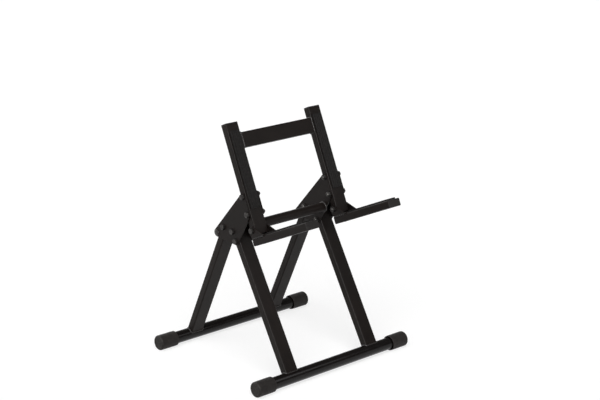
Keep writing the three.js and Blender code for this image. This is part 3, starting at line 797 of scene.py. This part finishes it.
def vary_roughness(material, source, low, high):
    """Roughness that wanders between two values."""
    tree = material.node_tree
    roughness = tree.nodes["Principled BSDF"].inputs["Roughness"]
    tree.links.new(ranged(tree, source, ROUGHNESS_SPAN, (low, high)), roughness)


def relief(material, source, height):
    """Bump of a given height in millimetres, on top of any bump that is already there."""
    nodes, links = material.node_tree.nodes, material.node_tree.links
    bump, shader = nodes.new("ShaderNodeBump"), nodes["Principled BSDF"]
    bump.inputs["Distance"].default_value = height * MM
    links.new(source, bump.inputs["Height"])
    if shader.inputs["Normal"].is_linked:
        links.new(shader.inputs["Normal"].links[0].from_socket, bump.inputs["Normal"])
    links.new(bump.outputs["Normal"], shader.inputs["Normal"])


# %% Powder coat and enamel
FINISHES = {}
coat = FINISHES["powder_coat"] = finish("satin powder coat", (22, 18, 16), 0.42, specular=0.105)
vary_color(coat, noise(coat, 14), (20, 16, 14), (25, 20, 18))
vary_roughness(coat, noise(coat, 60), 0.39, 0.44)
relief(coat, noise(coat, 480, 2), 0.05)
relief(coat, noise(coat, 2200, 1), 0.012)

# The coat flows smoother and glossier over the ripples of a weld.
weld_coat = finish("coat over a weld", (24, 20, 18), 0.28, specular=0.4)
vary_color(weld_coat, noise(weld_coat, 40), (20, 16, 14), (28, 23, 21))
vary_roughness(weld_coat, noise(weld_coat, 300), 0.22, 0.34)

enamel = FINISHES["foot_bar_gloss"] = finish("gloss enamel", (14, 11, 10), 0.2, specular=0.21)
vary_color(enamel, noise(enamel, 10), (12, 9, 8), (16, 13, 12))
vary_roughness(enamel, noise(enamel, 45), 0.17, 0.25)
relief(enamel, noise(enamel, 350, 2), 0.012)

# %% Rubber and plastic
rubber = FINISHES["cap_rubber"] = finish("moulded rubber", (26, 22, 20), 0.62, specular=0.22)
vary_color(rubber, noise(rubber, 70, 6), (22, 18, 17), (31, 27, 25))
vary_roughness(rubber, noise(rubber, 220), 0.55, 0.7)
relief(rubber, noise(rubber, 1800, 2), 0.04)

pad = FINISHES["pad_rubber"] = finish("strip rubber", (20, 18, 17), 0.8, specular=0.2)
vary_color(pad, noise(pad, 90, 6), (17, 15, 14), (24, 21, 20))
vary_roughness(pad, noise(pad, 300), 0.72, 0.88)
relief(pad, noise(pad, 1500, 2), 0.05)

plastic = FINISHES["plug_plastic"] = finish("moulded plastic", (23, 20, 19), 0.5, specular=0.2)
vary_color(plastic, noise(plastic, 60), (20, 17, 16), (26, 23, 21))
vary_roughness(plastic, noise(plastic, 260), 0.42, 0.58)
relief(plastic, noise(plastic, 1400, 2), 0.03)

# %% Steel and nylon
steel = FINISHES["black_steel"] = finish("black oxide steel", (58, 56, 55), 0.38, metallic=0.85)
vary_color(steel, noise(steel, 160), (48, 46, 46), (70, 68, 66))
vary_roughness(steel, noise(steel, 500), 0.3, 0.5)
relief(steel, noise(steel, 2200, 2), 0.01)

nylon = FINISHES["bush_nylon"] = finish("natural nylon", (216, 211, 198), 0.45)
vary_color(nylon, noise(nylon, 120), (206, 200, 186), (224, 219, 207))
vary_roughness(nylon, noise(nylon, 400), 0.38, 0.52)
relief(nylon, noise(nylon, 1600, 2), 0.02)

for name, slot in PIECES.items():
    materials = bpy.data.objects[name].data.materials
    materials.clear()
    materials.append(weld_coat if name.startswith("weld") else FINISHES[slot])
    if slot == "black_steel":
        materials.append(nylon)  # in the lock nuts
for side in MIRROR:
    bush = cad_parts[f"pivot_bush_{side}"]
    bush.data.materials.clear()
    bush.data.materials.append(nylon)
print("finishes", sorted(FINISHES))

# %% [markdown]
# ## Floor and surroundings
# A black object needs a pale floor to stand out, and something to reflect. To the camera and in
# reflections the floor takes on a share of plain white, which Light Path's kinds of ray allow,
# so the stand's shadow stays on it. The world is white along the horizon, up to where a level
# view ends, and dim above, like a studio with its ceiling lights off.

# %% Floor
FLOOR_SIZE, FLOOR_WHITE, FLOOR_GLOW = 60, 0.65, 1.12
paper = finish("white floor", (249, 249, 249), 0.9, specular=0)
nodes, links = paper.node_tree.nodes, paper.node_tree.links
path = nodes.new("ShaderNodeLightPath")
seen = path.outputs["Is Camera Ray"]
for ray in ("Is Glossy Ray", "Is Transmission Ray"):
    either = nodes.new("ShaderNodeMath")
    either.operation = "MAXIMUM"
    links.new(seen, either.inputs[0])
    links.new(path.outputs[ray], either.inputs[1])
    seen = either.outputs["Value"]
share, glow, mix = (nodes.new("ShaderNode" + kind) for kind in ("Math", "Emission", "MixShader"))
share.operation = "MULTIPLY"
share.inputs[1].default_value = FLOOR_WHITE
glow.inputs["Strength"].default_value = FLOOR_GLOW
links.new(seen, share.inputs[0])
links.new(share.outputs["Value"], mix.inputs["Fac"])
links.new(nodes["Principled BSDF"].outputs["BSDF"], mix.inputs[1])
links.new(glow.outputs["Emission"], mix.inputs[2])
links.new(mix.outputs["Shader"], nodes["Material Output"].inputs["Surface"])

floor = mesh_of(flat(FLOOR_SIZE, FLOOR_SIZE), "floor")
floor.data.materials.append(paper)
print("floor", FLOOR_SIZE, "m wide")

# %% World
WORLD_LEVEL, HORIZON_LEVEL = 0.16, 1
WHITE_TOP, DIM_FROM = 0.13, 0.15  # rise of a ray over the horizon, as the sine of its angle
world = bpy.data.worlds.new("dim ceiling")
scene.world = world
world.use_nodes = True
nodes, links = world.node_tree.nodes, world.node_tree.links
place, height = nodes.new("ShaderNodeTexCoord"), nodes.new("ShaderNodeSeparateXYZ")
links.new(place.outputs["Generated"], height.inputs["Vector"])
level = ranged(world.node_tree, height.outputs["Z"], (WHITE_TOP, DIM_FROM),
               (HORIZON_LEVEL, WORLD_LEVEL))
nodes["Background"].inputs["Color"].default_value = (1, 1, 1, 1)
links.new(level, nodes["Background"].inputs["Strength"])
print("world", HORIZON_LEVEL, "at the horizon,", WORLD_LEVEL, "above")

# %% [markdown]
# ## Lamps
# One broad, soft lamp high on the left gives the level. The others only show in the gloss:
# a softbox on the right draws the line along the bars, a lamp beside the camera catches the
# rounded corners of the legs, and a wide one behind keeps the back from going plain black.

# %% Light
def lamp(name, kind, place, aim=(0, 0, 0.25), gloss_only=False, **settings):
    """Lamp at a place, aimed at the stand."""
    light = bpy.data.lights.new(name, kind)
    for setting, value in settings.items():
        setattr(light, setting, value)
    there = placed(name, light)
    there.location = place
    there.rotation_euler = (Vector(place) - Vector(aim)).to_track_quat("Z", "Y").to_euler()
    there.visible_camera, there.visible_diffuse = False, not gloss_only


lamp("broad lamp", "SUN", (-2, -1.7, 3.4), energy=2.9, angle=radians(60))
lamp("corner lamp", "SUN", (-1.92, -1.8, 1.7), gloss_only=True, energy=3.0, angle=radians(16))
lamp("back lamp", "SUN", (-0.3, 2.4, 2.1), gloss_only=True, energy=3.5, angle=radians(70))
lamp("softbox", "AREA", (0.5, -0.78, 0.87), aim=(-0.14, -0.12, 0.15), gloss_only=True, energy=1.5,
     shape="SQUARE", size=0.5)
scene.view_settings.view_transform = "Standard"
